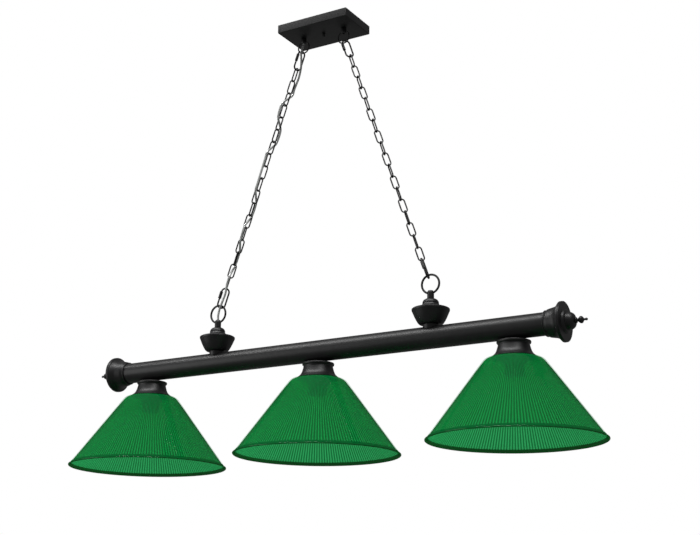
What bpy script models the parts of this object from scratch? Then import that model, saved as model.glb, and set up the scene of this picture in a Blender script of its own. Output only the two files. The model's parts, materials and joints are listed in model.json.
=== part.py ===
"""Three-shade pool table lamp, hung on two chains from a rectangular ceiling canopy.

Metres, +Z up. The origin is on the ceiling, at the middle of the mounting strap's top face.
+X runs along the bar and +Y runs across it.
"""

from math import cos, pi, radians, sin

import bmesh
import bpy
from mathutils import Matrix, Vector

# Driving dimensions, overall.
GAP = 0.0003
CUTTER_REACH = 0.0100
WIDE_SEGMENTS = 28
TURNED_SEGMENTS = 18
SMALL_SEGMENTS = 12
BORE_SEGMENTS = 10
RING_SEGMENTS = 18
WIRE_SIDES = 6
SHADE_DIAMETER = 0.3556
SHADE_SPACING = 0.4535
BAR_Z = -0.7700
HANGER_X = 0.2710
LOOP_X = 0.0541

# Canopy and what is in it.
CANOPY_SIZE = Vector((0.1834, 0.1096, 0.0200))
CANOPY_WALL = 0.0012
CANOPY_CORNER = 0.0022
STRAP_SIZE = Vector((0.1600, 0.0220, 0.0020))
STRAP_CORNER = 0.0040
STRAP_HUB_RADIUS = 0.0055
STRAP_HUB_DEPTH = 0.0080
STRAP_SLOT_X = 0.0440
STRAP_SLOT_RADIUS = 0.0024
STRAP_SLOT_HALF = 0.0080
SCREW_RADIUS = 0.0020
SCREW_TIP = -0.0035
SCREW_CLEARANCE = 0.0023
NUT_RADIUS = 0.0085
CANOPY_NUT_HEIGHT = 0.0040
TUBE_NUT_HEIGHT = 0.0035

# Loops: a ring cast on a hollow threaded stem.
LOOP_RING_RADIUS = 0.0144
LOOP_WIRE = 0.0016
LOOP_Z = -0.0422
LOOP_STEM_RADIUS = 0.0062
LOOP_THREAD_LENGTH = 0.0120
STEM_BITE = 0.0010
THREAD_RADIUS = 0.0049
THREAD_HOLE = 0.0052
WIRE_WAY = 0.0030
HANGER_RING_RADIUS = 0.02005
HANGER_WIRE = 0.0023
HANGER_RING_HEIGHT = 0.1137
HANGER_STEM_RADIUS = 0.0072
HANGER_STEM_TOP = 0.0997
HANGER_CAP_TOP = 0.0822
HANGER_THREAD_LOW = 0.0140
TUBE_NUT_PLACE = 0.0150

# Chain: oval links between a quick link at each end.
LINKS_PER_CHAIN = 18
LINKS_PER_NODE = 3
LINK_WIDTH = 0.0160
LINK_WIRE = 0.0016
LINK_BITE = 0.0008
QUICK_LENGTH = 0.0500
QUICK_WIDTH = 0.0210
QUICK_WIRE = 0.0019
RING_GAP = 0.0008
OPEN_PIVOT_SLACK = 0.0005
SLEEVE_LENGTH = 0.0170
SLEEVE_OFFSET = 0.0055
SLEEVE_RADIUS = 0.0036
GATE_OFFSET = 0.0075
GATE_WIDTH = 0.0040
CHAIN_TURN = {"left": (67.0, 125.0), "right": (47.0, 32.0)}
BOTTOM_QUICK_TURN = {"left": 50.0, "right": 99.0}

# Bar and its ends.
TUBE_RADIUS = 0.0233
TUBE_WALL = 0.0015
TUBE_HALF = 0.5560
END_FACE_X = 0.5625
END_RADIUS = 0.0404

# Shade assembly, as heights below the bar's axis.
HOLDER_TOP = -0.0270
SHADE_TOP = -0.0603
SHADE_RIM = -0.2245
SHADE_WALL = 0.0025
SHADE_HOLE = 0.0205
SOCKET_RADIUS = 0.0200
SOCKET_BORE = 0.0140
SOCKET_BOTTOM = -0.0960

# Supply cord, and the wiring inside the bar.
CORD_RADIUS = 0.0025
LEAD_RADIUS = 0.0020
BRANCH_RADIUS = 0.0016
LEAD_BITE = 0.0004
LEAD_DROP = -0.0430
LEAD_RISE = 0.0800

BLACK = ((0.030, 0.030, 0.032), 0.45, 0.30)
DARK_CHAIN = ((0.020, 0.020, 0.022), 0.38, 0.50)
ZINC = ((0.55, 0.56, 0.58), 0.35, 1.00)
GREEN = ((0.010, 0.300, 0.090), 0.15, 0.00)
PHENOLIC = ((0.100, 0.050, 0.030), 0.50, 0.00)
SILVER_CORD = ((0.600, 0.610, 0.620), 0.30, 0.00)

SIDES = {"left": -1, "right": 1}
SHADE_PLACES = {"left": -SHADE_SPACING, "middle": 0.0, "right": SHADE_SPACING}


def clear_scene():
    for obj in list(bpy.data.objects):
        bpy.data.objects.remove(obj, do_unlink=True)


def give_material(obj, finish):
    colour, roughness, metallic = finish
    material = bpy.data.materials.new(obj.name)
    material.use_nodes = True
    shader = material.node_tree.nodes["Principled BSDF"]
    shader.inputs["Base Color"].default_value = (*colour, 1.0)
    shader.inputs["Roughness"].default_value = roughness
    shader.inputs["Metallic"].default_value = metallic
    material.diffuse_color = (*colour, 1.0)
    obj.data.materials.append(material)


def object_from(name, bm, finish, place=(0, 0, 0), parent=None):
    """Makes a smooth-shaded object from bm, with its faces pointing out."""
    bmesh.ops.recalc_face_normals(bm, faces=bm.faces)
    if bm.calc_volume(signed=True) < 0:
        bmesh.ops.reverse_faces(bm, faces=bm.faces)
    mesh = bpy.data.meshes.new(name)
    bm.to_mesh(mesh)
    bm.free()
    mesh.shade_smooth()
    mesh.set_sharp_from_angle(angle=radians(32))
    obj = bpy.data.objects.new(name, mesh)
    bpy.context.scene.collection.objects.link(obj)
    obj.location = place
    obj.parent = parent
    if finish:
        give_material(obj, finish)
    return obj


def pivot(name, place):
    empty = bpy.data.objects.new(name, None)
    empty.location = place
    bpy.context.scene.collection.objects.link(empty)
    return empty


def child_place(parent, place):
    """A world place as seen from an unrotated parent empty."""
    return Vector(place) - parent.location


def arc(centre_r, centre_z, radius, start, end, steps):
    """Points (r, z) on an arc, with angles in degrees from the +r direction."""
    angles = [radians(start + (end - start) * i / steps) for i in range(steps + 1)]
    return [(centre_r + radius * cos(a), centre_z + radius * sin(a)) for a in angles]


def turned(profile, segments):
    """A turned body about Z. A profile from r = 0 back to r = 0 is solid; any other is a closed ring."""
    bm = bmesh.new()
    rings = []
    for r, z in profile:
        count = 1 if r < 1e-6 else segments
        turns = [2 * pi * i / segments for i in range(count)]
        rings.append([bm.verts.new((r * cos(t), r * sin(t), z)) for t in turns])
    solid = len(rings[0]) == 1 and len(rings[-1]) == 1
    pairs = list(zip(rings, rings[1:]))
    if not solid:
        pairs.append((rings[-1], rings[0]))
    for low, high in pairs:
        for i in range(segments):
            j = (i + 1) % segments
            corners = [low[i % len(low)], low[j % len(low)], high[j % len(high)], high[i % len(high)]]
            bm.faces.new(list(dict.fromkeys(corners)))
    return bm


def prism(points, bottom, top):
    """An upright solid on an outline of (x, y) points."""
    bm = bmesh.new()
    face = bm.faces.new([bm.verts.new((x, y, bottom)) for x, y in points])
    lifted = bmesh.ops.extrude_face_region(bm, geom=[face])
    moved = [v for v in lifted["geom"] if isinstance(v, bmesh.types.BMVert)]
    bmesh.ops.translate(bm, verts=moved, vec=(0, 0, top - bottom))
    return bm


def polygon(radius, count):
    turns = [2 * pi * i / count for i in range(count)]
    return [(radius * cos(t), radius * sin(t)) for t in turns]


def cylinder(radius, bottom, top, segments=SMALL_SEGMENTS):
    return prism(polygon(radius, segments), bottom, top)


def rounded_box(size, corner, bottom, top, steps=3):
    """An upright box with rounded corners, centred on the Z axis."""
    points = []
    for quarter in range(4):
        sx = 1 if quarter in (0, 3) else -1
        sy = 1 if quarter in (0, 1) else -1
        cx = sx * (size[0] / 2 - corner)
        cy = sy * (size[1] / 2 - corner)
        points += arc(cx, cy, corner, 90 * quarter, 90 * quarter + 90, steps)
    return prism(points, bottom, top)


def helper(name, bm, place=(0, 0, 0), parent=None):
    """A hidden body that a Boolean uses."""
    obj = object_from(name, bm, None, place, parent)
    obj.hide_render = True
    obj.display_type = "WIRE"
    return obj


def combine(obj, operand, operation):
    modifier = obj.modifiers.new(operand.name, "BOOLEAN")
    modifier.object = operand
    modifier.operation = operation
    modifier.solver = "EXACT"


def tube_along(path, radius, sides, normal, closed):
    """A round bar along a flat path. normal is the plane's normal."""
    bm = bmesh.new()
    rings = []
    count = len(path)
    for i, point in enumerate(path):
        if closed:
            ahead = path[(i + 1) % count] - path[i - 1]
        else:
            ahead = path[min(i + 1, count - 1)] - path[max(i - 1, 0)]
        across = ahead.normalized().cross(normal)
        turns = [2 * pi * (s + 0.5) / sides for s in range(sides)]
        rings.append([bm.verts.new(point + radius * (cos(t) * across + sin(t) * normal)) for t in turns])
    pairs = list(zip(rings, rings[1:]))
    if closed:
        pairs.append((rings[-1], rings[0]))
    else:
        bm.faces.new(rings[0])
        bm.faces.new(rings[-1])
    for one, two in pairs:
        for s in range(sides):
            t = (s + 1) % sides
            bm.faces.new((one[s], one[t], two[t], two[s]))
    return bm


def oval(length, width, wire):
    """The centre line of an oval link in the XZ plane, long side upright, starting on the +X side."""
    arc_steps = 4
    bend = width / 2 - wire
    straight = length / 2 - width / 2
    points = []
    for end, start in ((1, 0), (-1, 180)):
        for i in range(arc_steps + 1):
            a = radians(start + 180 * i / arc_steps)
            points.append(Vector((bend * cos(a), 0, end * straight + bend * sin(a))))
    return points


def ring_with_stem(name, finish, ring_radius, wire, stem, place, parent):
    """A ring in the XZ plane whose wire meets a hollow stem. stem gives heights from the ring's centre."""
    path = [Vector((x, 0, z)) for x, z in polygon(ring_radius, RING_SEGMENTS)]
    wire_ring = tube_along(path, wire, WIRE_SIDES, Vector((0, 1, 0)), True)
    loop = object_from(name, wire_ring, finish, place, parent)
    for number, (radius, low, high) in enumerate(stem["solids"]):
        solid = helper(f"{name}_stem_{number}", cylinder(radius, low, high), place, parent)
        combine(loop, solid, "UNION")
    low, high = stem["bore"]
    bore = helper(f"{name}_bore", cylinder(WIRE_WAY, low, high, BORE_SEGMENTS), place, parent)
    combine(loop, bore, "DIFFERENCE")


# Ceiling canopy.


def make_canopy():
    depth = CANOPY_SIZE.z
    shell = object_from("canopy_shell", rounded_box(CANOPY_SIZE, CANOPY_CORNER, -depth, 0), BLACK)
    inside = CANOPY_SIZE - Vector((2 * CANOPY_WALL, 2 * CANOPY_WALL, 0))
    hollow = rounded_box(inside, CANOPY_CORNER - CANOPY_WALL, CANOPY_WALL - depth, depth)
    combine(shell, helper("canopy_hollow", hollow), "DIFFERENCE")
    for x, radius in ((-LOOP_X, THREAD_HOLE), (0.0, SCREW_CLEARANCE), (LOOP_X, THREAD_HOLE)):
        drill = cylinder(radius, -CUTTER_REACH, CUTTER_REACH)
        combine(shell, helper(f"canopy_hole_{x:+.3f}", drill, (x, 0, -depth)), "DIFFERENCE")


def make_ceiling_strap():
    size = STRAP_SIZE
    strap = object_from("ceiling_strap", rounded_box(size, STRAP_CORNER, -size.z, 0), ZINC)
    hub = cylinder(STRAP_HUB_RADIUS, -STRAP_HUB_DEPTH, -size.z / 2)
    combine(strap, helper("strap_hub", hub), "UNION")
    hole = cylinder(SCREW_CLEARANCE, -2 * STRAP_HUB_DEPTH, -size.z)
    combine(strap, helper("strap_screw_hole", hole), "DIFFERENCE")
    length = STRAP_SLOT_HALF * 2 + STRAP_SLOT_RADIUS * 2
    for side in SIDES.values():
        outline = (length, STRAP_SLOT_RADIUS * 2)
        slot = rounded_box(outline, STRAP_SLOT_RADIUS - 1e-5, -CUTTER_REACH, CUTTER_REACH)
        combine(strap, helper(f"strap_slot_{side}", slot, (side * STRAP_SLOT_X, 0, 0)), "DIFFERENCE")


def make_canopy_screw():
    """A round-headed thumb screw from under the canopy into the strap's hub."""
    under = -CANOPY_SIZE.z - GAP
    head = 0.0075
    profile = [(0, SCREW_TIP), (SCREW_RADIUS, SCREW_TIP), (SCREW_RADIUS, under), (0.0040, under)]
    profile += [(0.0040, under - 0.0012), (0.0028, under - 0.0018), (0.0028, under - 0.0030)]
    profile += [(0.0035, under - 0.0038), (0.0035, under - 0.0062), (0.0022, under - head)]
    profile += [(0, under - head)]
    object_from("canopy_screw", turned(profile, BORE_SEGMENTS), BLACK)


def make_canopy_loop(side):
    """The ring under the canopy, and the nut inside that holds its hollow stem."""
    centre = Vector((SIDES[side] * LOOP_X, 0, LOOP_Z))
    under = -CANOPY_SIZE.z - LOOP_Z
    collar_low = LOOP_RING_RADIUS - 0.0050
    thread_top = under + LOOP_THREAD_LENGTH
    stem = {
        "solids": [
            (LOOP_STEM_RADIUS, collar_low, under - GAP),
            (THREAD_RADIUS, under - STEM_BITE, thread_top),
        ],
        "bore": (collar_low - STEM_BITE, thread_top + STEM_BITE),
    }
    ring_with_stem(f"canopy_loop_{side}", BLACK, LOOP_RING_RADIUS, LOOP_WIRE, stem, centre, None)
    nut = prism(polygon(NUT_RADIUS, 6), 0, CANOPY_NUT_HEIGHT)
    place = (centre.x, 0, CANOPY_WALL - CANOPY_SIZE.z + GAP)
    obj = object_from(f"canopy_nut_{side}", nut, ZINC, place)
    bore = cylinder(THREAD_HOLE, -CUTTER_REACH, CUTTER_REACH)
    combine(obj, helper(f"canopy_nut_{side}_bore", bore, place), "DIFFERENCE")


# Chains. Each hangs on a straight line between a canopy ring and a hanger ring.


class ChainLine:
    """Places along one chain, measured from the canopy ring's centre towards the hanger ring's."""

    def __init__(self, side):
        self.side = side
        self.top = Vector((SIDES[side] * LOOP_X, 0, LOOP_Z))
        self.bottom = Vector((SIDES[side] * HANGER_X, 0, BAR_Z + HANGER_RING_HEIGHT))
        self.length = (self.bottom - self.top).length
        self.down = (self.bottom - self.top) / self.length
        slack = OPEN_PIVOT_SLACK if side == "right" else 0.0
        self.quick_reach = QUICK_LENGTH - 2 * QUICK_WIRE
        self.first = LOOP_RING_RADIUS - LOOP_WIRE - QUICK_WIRE - RING_GAP
        end_contact = QUICK_WIRE + LINK_WIRE + RING_GAP
        self.last = self.length - HANGER_RING_RADIUS + HANGER_WIRE + QUICK_WIRE + RING_GAP + slack
        links_start = self.first + self.quick_reach - end_contact
        links_end = self.last - self.quick_reach + end_contact
        loose = 2 * LINK_WIRE + GAP
        fused = 2 * LINK_WIRE - LINK_BITE
        contacts = [fused if (k + 1) % LINKS_PER_NODE else loose for k in range(LINKS_PER_CHAIN - 1)]
        self.link_reach = (links_end - links_start + sum(contacts)) / LINKS_PER_CHAIN
        self.link_centres = []
        start = links_start
        for k in range(LINKS_PER_CHAIN):
            self.link_centres.append(start + self.link_reach / 2)
            start += self.link_reach - (contacts[k] if k < len(contacts) else 0)

    def at(self, distance):
        return self.top + distance * self.down

    def frame(self, place):
        """Axes of an oval at this place (0 = top quick link): X across its plane's width, Z up the line."""
        top, bottom = CHAIN_TURN[self.side]
        angle = top + (bottom - top) * place / LINKS_PER_CHAIN
        lean = Vector((0, 0, -1)).rotation_difference(self.down).to_matrix()
        return lean @ Matrix.Rotation(radians(angle), 3, "Z")

    def turn(self, place):
        """The rotation of the link at this place. Each link is a quarter turn from the one before."""
        if place > LINKS_PER_CHAIN:
            lean = Vector((0, 0, -1)).rotation_difference(self.down).to_matrix()
            angle = radians(BOTTOM_QUICK_TURN[self.side])
            return (lean @ Matrix.Rotation(angle, 3, "Z")).to_4x4()
        quarter = 90 if place % 2 else 0
        return (self.frame(place) @ Matrix.Rotation(radians(quarter), 3, "Z")).to_4x4()


def placed_oval(bm, line, distance, place, origin):
    bm.transform(Matrix.Translation(line.at(distance) - origin) @ line.turn(place))
    return bm


def make_chain(line, parent):
    """Links in groups of three, each group one node whose links bear on each other."""
    origin = parent.location
    length = line.link_reach + 2 * LINK_WIRE
    for k, centre in enumerate(line.link_centres):
        path = oval(length, LINK_WIDTH, LINK_WIRE)
        wire_loop = tube_along(path, LINK_WIRE, WIRE_SIDES, Vector((0, 1, 0)), True)
        link = placed_oval(wire_loop, line, centre, k + 1, origin)
        group, member = divmod(k, LINKS_PER_NODE)
        if member == 0:
            node = object_from(f"chain_{line.side}_{group + 1}", link, DARK_CHAIN, (0, 0, 0), parent)
        else:
            combine(node, helper(f"link_{line.side}_{k}", link, (0, 0, 0), parent), "UNION")


def make_quick_link(line, which, parent):
    """A bent rod with a gate in one leg, closed by a threaded hexagonal sleeve."""
    origin = parent.location
    place = 0 if which == "top" else LINKS_PER_CHAIN + 1
    half = line.quick_reach / 2
    centre = line.first + half if which == "top" else line.last - half
    leg = QUICK_WIDTH / 2 - QUICK_WIRE
    loop = oval(QUICK_LENGTH, QUICK_WIDTH, QUICK_WIRE)
    before = len(loop) // 2
    gate_top = Vector((-leg, 0, GATE_OFFSET + GATE_WIDTH / 2))
    gate_bottom = Vector((-leg, 0, GATE_OFFSET - GATE_WIDTH / 2))
    path = [gate_bottom] + loop[before:] + loop[:before] + [gate_top]
    rod = tube_along(path, QUICK_WIRE, WIRE_SIDES, Vector((0, 1, 0)), False)
    name = f"{which}_{line.side}"
    placed_oval(rod, line, centre, place, origin)
    object_from(f"quick_link_{name}", rod, DARK_CHAIN, (0, 0, 0), parent)
    low = SLEEVE_OFFSET - SLEEVE_LENGTH / 2
    nut = prism(polygon(SLEEVE_RADIUS, 6), low, low + SLEEVE_LENGTH)
    bore = cylinder(QUICK_WIRE + GAP, low - CUTTER_REACH, low + SLEEVE_LENGTH + CUTTER_REACH)
    for body in (nut, bore):
        body.transform(Matrix.Translation((-leg, 0, 0)))
        placed_oval(body, line, centre, place, origin)
    sleeve = object_from(f"sleeve_{name}", nut, DARK_CHAIN, (0, 0, 0), parent)
    combine(sleeve, helper(f"sleeve_{name}_bore", bore, (0, 0, 0), parent), "DIFFERENCE")


# Bar, hangers and end caps. They hang under one empty on the left hanger's pivot.


def lay_along_x(bm, side):
    """Turns a body made about Z so that +Z becomes the outward end of the bar."""
    bm.transform(Matrix.Rotation(side * pi / 2, 4, "Y"))
    return bm


def make_bar_tube(parent):
    """The tube, drilled from above for the hangers and from below for the sockets."""
    inner = TUBE_RADIUS - TUBE_WALL
    profile = [(inner, -TUBE_HALF), (TUBE_RADIUS, -TUBE_HALF)]
    profile += [(TUBE_RADIUS, TUBE_HALF), (inner, TUBE_HALF)]
    place = child_place(parent, (0, 0, BAR_Z))
    body = lay_along_x(turned(profile, WIDE_SEGMENTS), 1)
    tube = object_from("bar_tube", body, BLACK, place, parent)
    holes = [(sign * HANGER_X, TUBE_RADIUS) for sign in SIDES.values()]
    holes += [(x, -TUBE_RADIUS) for x in SHADE_PLACES.values()]
    for x, wall in holes:
        drill = cylinder(THREAD_HOLE, wall - CUTTER_REACH, wall + CUTTER_REACH)
        hole = helper(f"bar_hole_{x:+.3f}", drill, place + Vector((x, 0, 0)), parent)
        combine(tube, hole, "DIFFERENCE")


def make_end(side, parent):
    """A bell that slips over the tube, a stepped plate and the finial that screws them on."""
    sign = SIDES[side]
    place = child_place(parent, (sign * END_FACE_X, 0, BAR_Z))
    bore = (TUBE_RADIUS + GAP) / cos(pi / TURNED_SEGMENTS)
    bell = [(bore, -0.0400), (0.0250, -0.0400), (0.0263, -0.0385), (0.0250, -0.0368)]
    bell += [(0.0286, -0.0315), (0.0298, -0.0240), (0.0318, -0.0155), (0.0360, -0.0090)]
    bell += [(END_RADIUS, -0.0066), (END_RADIUS, -0.0028), (0.0385, -0.0028), (0.0305, -0.0130)]
    bell += [(0.0280, -0.0255), (bore, -0.0330)]
    body = lay_along_x(turned(bell, TURNED_SEGMENTS), sign)
    object_from(f"end_bell_{side}", body, BLACK, place, parent)
    shank = 0.0024
    bore = shank + GAP
    plate = [(bore, -0.0025), (END_RADIUS - 0.0010, -0.0025), (END_RADIUS, -0.0012)]
    plate += [(END_RADIUS - 0.0008, 0), (0.0238, 0), (0.0230, 0.0034), (0.0200, 0.0052)]
    plate += [(0.0178, 0.0056), (0.0174, 0.0115), (0.0145, 0.0170), (0.0085, 0.0203)]
    plate += [(bore, 0.0206), (bore, 0.0180), (0.0100, 0.0165), (0.0155, 0.0110), (0.0150, 0.0000)]
    plate += [(bore, 0.0000)]
    body = lay_along_x(turned(plate, TURNED_SEGMENTS), sign)
    object_from(f"end_plate_{side}", body, BLACK, place, parent)
    finial = [(0, -0.0100), (shank, -0.0100), (shank, 0.0209), (0.0058, 0.0209), (0.0056, 0.0234)]
    finial += [(0.0029, 0.0246), (0.0046, 0.0282), (0.0072, 0.0322), (0.0046, 0.0362)]
    finial += [(0.0018, 0.0392), (0.0027, 0.0427), (0.0018, 0.0449), (0, 0.0454)]
    body = lay_along_x(turned(finial, SMALL_SEGMENTS), sign)
    object_from(f"finial_{side}", body, BLACK, place, parent)


def make_hanger(side, parent):
    """A vase-shaped cup on the bar, a domed cap and a ring whose hollow stem runs down into the bar."""
    place = child_place(parent, (SIDES[side] * HANGER_X, 0, BAR_Z))
    cup = [(THREAD_HOLE, 0.0718), (0.0170, 0.0718), (0.0186, 0.0680), (0.0216, 0.0648)]
    cup += [(0.0372, 0.0612), (0.0397, 0.0580), (0.0388, 0.0550), (0.0276, 0.0312)]
    cup += [(0.0240, 0.0274), (0.0170, 0.0268), (0.0166, 0.0100), (0.0151, 0.0100)]
    cup += [(0.0151, 0.0284), (0.0256, 0.0320), (0.0372, 0.0576), (0.0208, 0.0630)]
    cup += [(0.0160, 0.0700), (THREAD_HOLE, 0.0700)]
    obj = object_from(f"hanger_cup_{side}", turned(cup, TURNED_SEGMENTS), BLACK, place, parent)
    reach = 2 * HANGER_CAP_TOP
    saddle = lay_along_x(cylinder(TUBE_RADIUS + GAP, -reach, reach, WIDE_SEGMENTS), 1)
    combine(obj, helper(f"hanger_saddle_{side}", saddle, place, parent), "DIFFERENCE")
    cap = [(THREAD_HOLE, 0.0721), (0.0172, 0.0721), (0.0168, 0.0750), (0.0145, 0.0792)]
    cap += [(0.0085, HANGER_CAP_TOP), (THREAD_HOLE, HANGER_CAP_TOP)]
    object_from(f"hanger_cap_{side}", turned(cap, TURNED_SEGMENTS), BLACK, place, parent)
    ring = HANGER_RING_HEIGHT
    stem = {
        "solids": [
            (HANGER_STEM_RADIUS, HANGER_CAP_TOP + GAP - ring, HANGER_STEM_TOP - ring),
            (THREAD_RADIUS, HANGER_THREAD_LOW - ring, HANGER_CAP_TOP + 2 * STEM_BITE - ring),
        ],
        "bore": (HANGER_THREAD_LOW - STEM_BITE - ring, HANGER_STEM_TOP + STEM_BITE - ring),
    }
    top = place + Vector((0, 0, ring))
    ring_with_stem(f"hanger_loop_{side}", BLACK, HANGER_RING_RADIUS, HANGER_WIRE, stem, top, parent)
    make_tube_nut(f"hanger_nut_{side}", place, TUBE_NUT_PLACE, parent)


def make_tube_nut(name, place, bottom, parent):
    """A hexagonal lock nut inside the tube, cut to clear the tube's round wall."""
    hexagon = prism(polygon(NUT_RADIUS, 6), bottom, bottom + TUBE_NUT_HEIGHT)
    nut = object_from(name, hexagon, ZINC, place, parent)
    drill = cylinder(THREAD_HOLE, bottom - CUTTER_REACH, bottom + 2 * CUTTER_REACH)
    combine(nut, helper(f"{name}_bore", drill, place, parent), "DIFFERENCE")
    inside = cylinder(TUBE_RADIUS - TUBE_WALL - GAP, -TUBE_RADIUS, TUBE_RADIUS, WIDE_SEGMENTS)
    combine(nut, helper(f"{name}_room", lay_along_x(inside, 1), place, parent), "INTERSECT")


# Shade assemblies.


def shade_profile():
    """The closed outline of the shade's wall, clockwise from its top hole."""
    rim = SHADE_DIAMETER / 2
    bead = 0.0022
    outer = [(SHADE_HOLE, SHADE_TOP), (0.0490, SHADE_TOP - 0.0004), (0.0580, SHADE_TOP - 0.0034)]
    outer += [(0.0628, SHADE_TOP - 0.0078), (rim - bead - 0.0008, SHADE_RIM + 2 * bead)]
    outer += [(rim, SHADE_RIM + bead), (rim - bead, SHADE_RIM)]
    inner = [(rim - 2 * bead, SHADE_RIM + bead), (0.0600, SHADE_TOP - 0.0080)]
    inner += [(0.0520, SHADE_TOP - SHADE_WALL), (SHADE_HOLE, SHADE_TOP - SHADE_WALL)]
    return outer + inner


def make_shade_set(which, parent):
    """Holder, socket, shade and the threaded ring that clamps the shade against the holder."""
    place = child_place(parent, (SHADE_PLACES[which], 0, BAR_Z))
    wall = 0.0012
    holder = [(THREAD_HOLE, HOLDER_TOP), (0.0322, HOLDER_TOP), (0.0344, HOLDER_TOP - 0.0026)]
    holder += [(0.0334, HOLDER_TOP - 0.0052), (0.0316, -0.0345), (0.0345, -0.0450), (0.0378, -0.0525)]
    holder += [(0.0452, -0.0596), (0.0440, -0.0599), (0.0362, -0.0530), (0.0304, -0.0350)]
    holder += [(0.0304, HOLDER_TOP - wall), (THREAD_HOLE, HOLDER_TOP - wall)]
    object_from(f"shade_holder_{which}", turned(holder, TURNED_SEGMENTS), BLACK, place, parent)
    shoulder = HOLDER_TOP - wall - GAP
    socket = [(WIRE_WAY, -0.0140), (THREAD_RADIUS, -0.0140), (THREAD_RADIUS, shoulder), (0.0150, shoulder)]
    socket += [(SOCKET_RADIUS, -0.0340), (SOCKET_RADIUS, SOCKET_BOTTOM), (SOCKET_BORE, SOCKET_BOTTOM)]
    socket += [(SOCKET_BORE, -0.0500), (WIRE_WAY, -0.0460)]
    object_from(f"socket_{which}", turned(socket, TURNED_SEGMENTS), PHENOLIC, place, parent)
    make_tube_nut(f"socket_nut_{which}", place, -TUBE_NUT_PLACE - TUBE_NUT_HEIGHT, parent)
    object_from(f"shade_{which}", turned(shade_profile(), WIDE_SEGMENTS), GREEN, place, parent)
    under = SHADE_TOP - SHADE_WALL - GAP
    bore = (SOCKET_RADIUS + GAP) / cos(pi / TURNED_SEGMENTS)
    ring = [(bore, under), (0.0295, under), (0.0295, under - 0.0024), (0.0242, under - 0.0032)]
    ring += [(0.0238, under - 0.0100), (bore, under - 0.0100)]
    object_from(f"socket_ring_{which}", turned(ring, TURNED_SEGMENTS), PHENOLIC, place, parent)


# Wiring.


def smooth_route(route, per_span):
    """Points of a Catmull-Rom curve through the route's own points."""
    ends = [2 * route[0] - route[1]] + route + [2 * route[-1] - route[-2]]
    points = []
    for a, b, c, d in zip(ends, ends[1:], ends[2:], ends[3:]):
        for i in range(per_span):
            t = i / per_span
            bend = (2 * a - 5 * b + 4 * c - d) * t**2 + (3 * b - a - 3 * c + d) * t**3
            points.append(b + ((c - a) * t + bend) / 2)
    return points + [route[-1]]


def make_cord(name, points, radius, finish, parent):
    curve = bpy.data.curves.new(name, "CURVE")
    curve.dimensions = "3D"
    curve.bevel_depth = radius
    curve.bevel_resolution = 2
    curve.use_fill_caps = True
    spline = curve.splines.new("POLY")
    spline.points.add(len(points) - 1)
    for slot, point in zip(spline.points, points):
        slot.co = (*(point - parent.location), 1)
    obj = bpy.data.objects.new(name, curve)
    bpy.context.scene.collection.objects.link(obj)
    obj.parent = parent
    give_material(obj, finish)


# The supply cord's route. Its two ends are (x, y, z) from a ring's centre. Between them it lies beside
# the chain: rows of distance down the chain, offset to the right and offset to the left and back.
CORD_START = ((0, 0, 0.0360), (0, 0, 0.0100), (-0.0003, -0.0042, -0.0010))
CORD_START += ((-0.0012, -0.0070, -0.0100),)
CORD_TOP = ((0.0190, -0.0050, -0.0060), (0.0340, 0.0005, -0.0074), (0.0510, 0.0060, -0.0064))
CORD_TOP += ((0.0720, 0.0094, -0.0046),)
CORD_CROSSINGS = ((3, -1), (5, 1), (7, -1), (11, 1), (13, -1), (15, 1), (17, -1))
CORD_ASIDE = 0.0111
CORD_REACH = 0.0145
CORD_END = ((0.0229, -0.0070, 0.0450), (0.0168, -0.0060, 0.0320), (0.0115, -0.0059, 0.0200))
CORD_END += ((0.0055, -0.0040, 0.0090), (0.0008, -0.0016, -0.0045), (0, 0, -0.0170), (0, 0, -0.0334))


def cord_route(line):
    """The route's own points. At each crossing the cord passes through a link to the chain's other side."""
    centres = line.link_centres
    rows = list(CORD_TOP) + [(centres[1], CORD_ASIDE, 0)]
    for link, side in CORD_CROSSINGS:
        middle = centres[link - 1]
        if link == 11:
            rows += [(centres[place], -CORD_ASIDE, 0) for place in (7, 8, 9)]
        rows.append((middle - CORD_REACH, -side * CORD_ASIDE, 0))
        rows.append((middle, 0, 0))
        rows.append((middle + CORD_REACH, side * CORD_ASIDE, 0))
    rows.append((centres[-1] + 0.0020, -CORD_ASIDE - 0.0006, 0))
    points = [line.top + Vector(place) for place in CORD_START]
    for distance, right, back in rows:
        place = distance / line.length * LINKS_PER_CHAIN
        points.append(line.at(distance) + line.frame(place) @ Vector((right, back, 0)))
    return points + [line.bottom + Vector(place) for place in CORD_END]


def make_supply_cord(line, parent):
    """The cord weaves down the left chain, from the canopy loop's stem into the hanger's stem."""
    make_cord("supply_cord", smooth_route(cord_route(line), 2), CORD_RADIUS, SILVER_CORD, parent)


def make_bar_wiring(parent):
    """The leads along the inside of the bar, with one drop into each socket and one rise to the cord."""
    place = child_place(parent, (0, 0, BAR_Z))
    reach = SHADE_SPACING + LEAD_RADIUS
    run = lay_along_x(cylinder(LEAD_RADIUS, -reach, reach, 8), 1)
    wiring = object_from("bar_wiring", run, SILVER_CORD, place, parent)
    branches = [(x, LEAD_DROP, LEAD_BITE) for x in SHADE_PLACES.values()]
    branches.append((-HANGER_X, -LEAD_BITE, LEAD_RISE))
    for x, low, high in branches:
        branch = cylinder(BRANCH_RADIUS, low, high, BORE_SEGMENTS)
        combine(wiring, helper(f"lead_{x:+.3f}", branch, place + Vector((x, 0, 0)), parent), "UNION")


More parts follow.
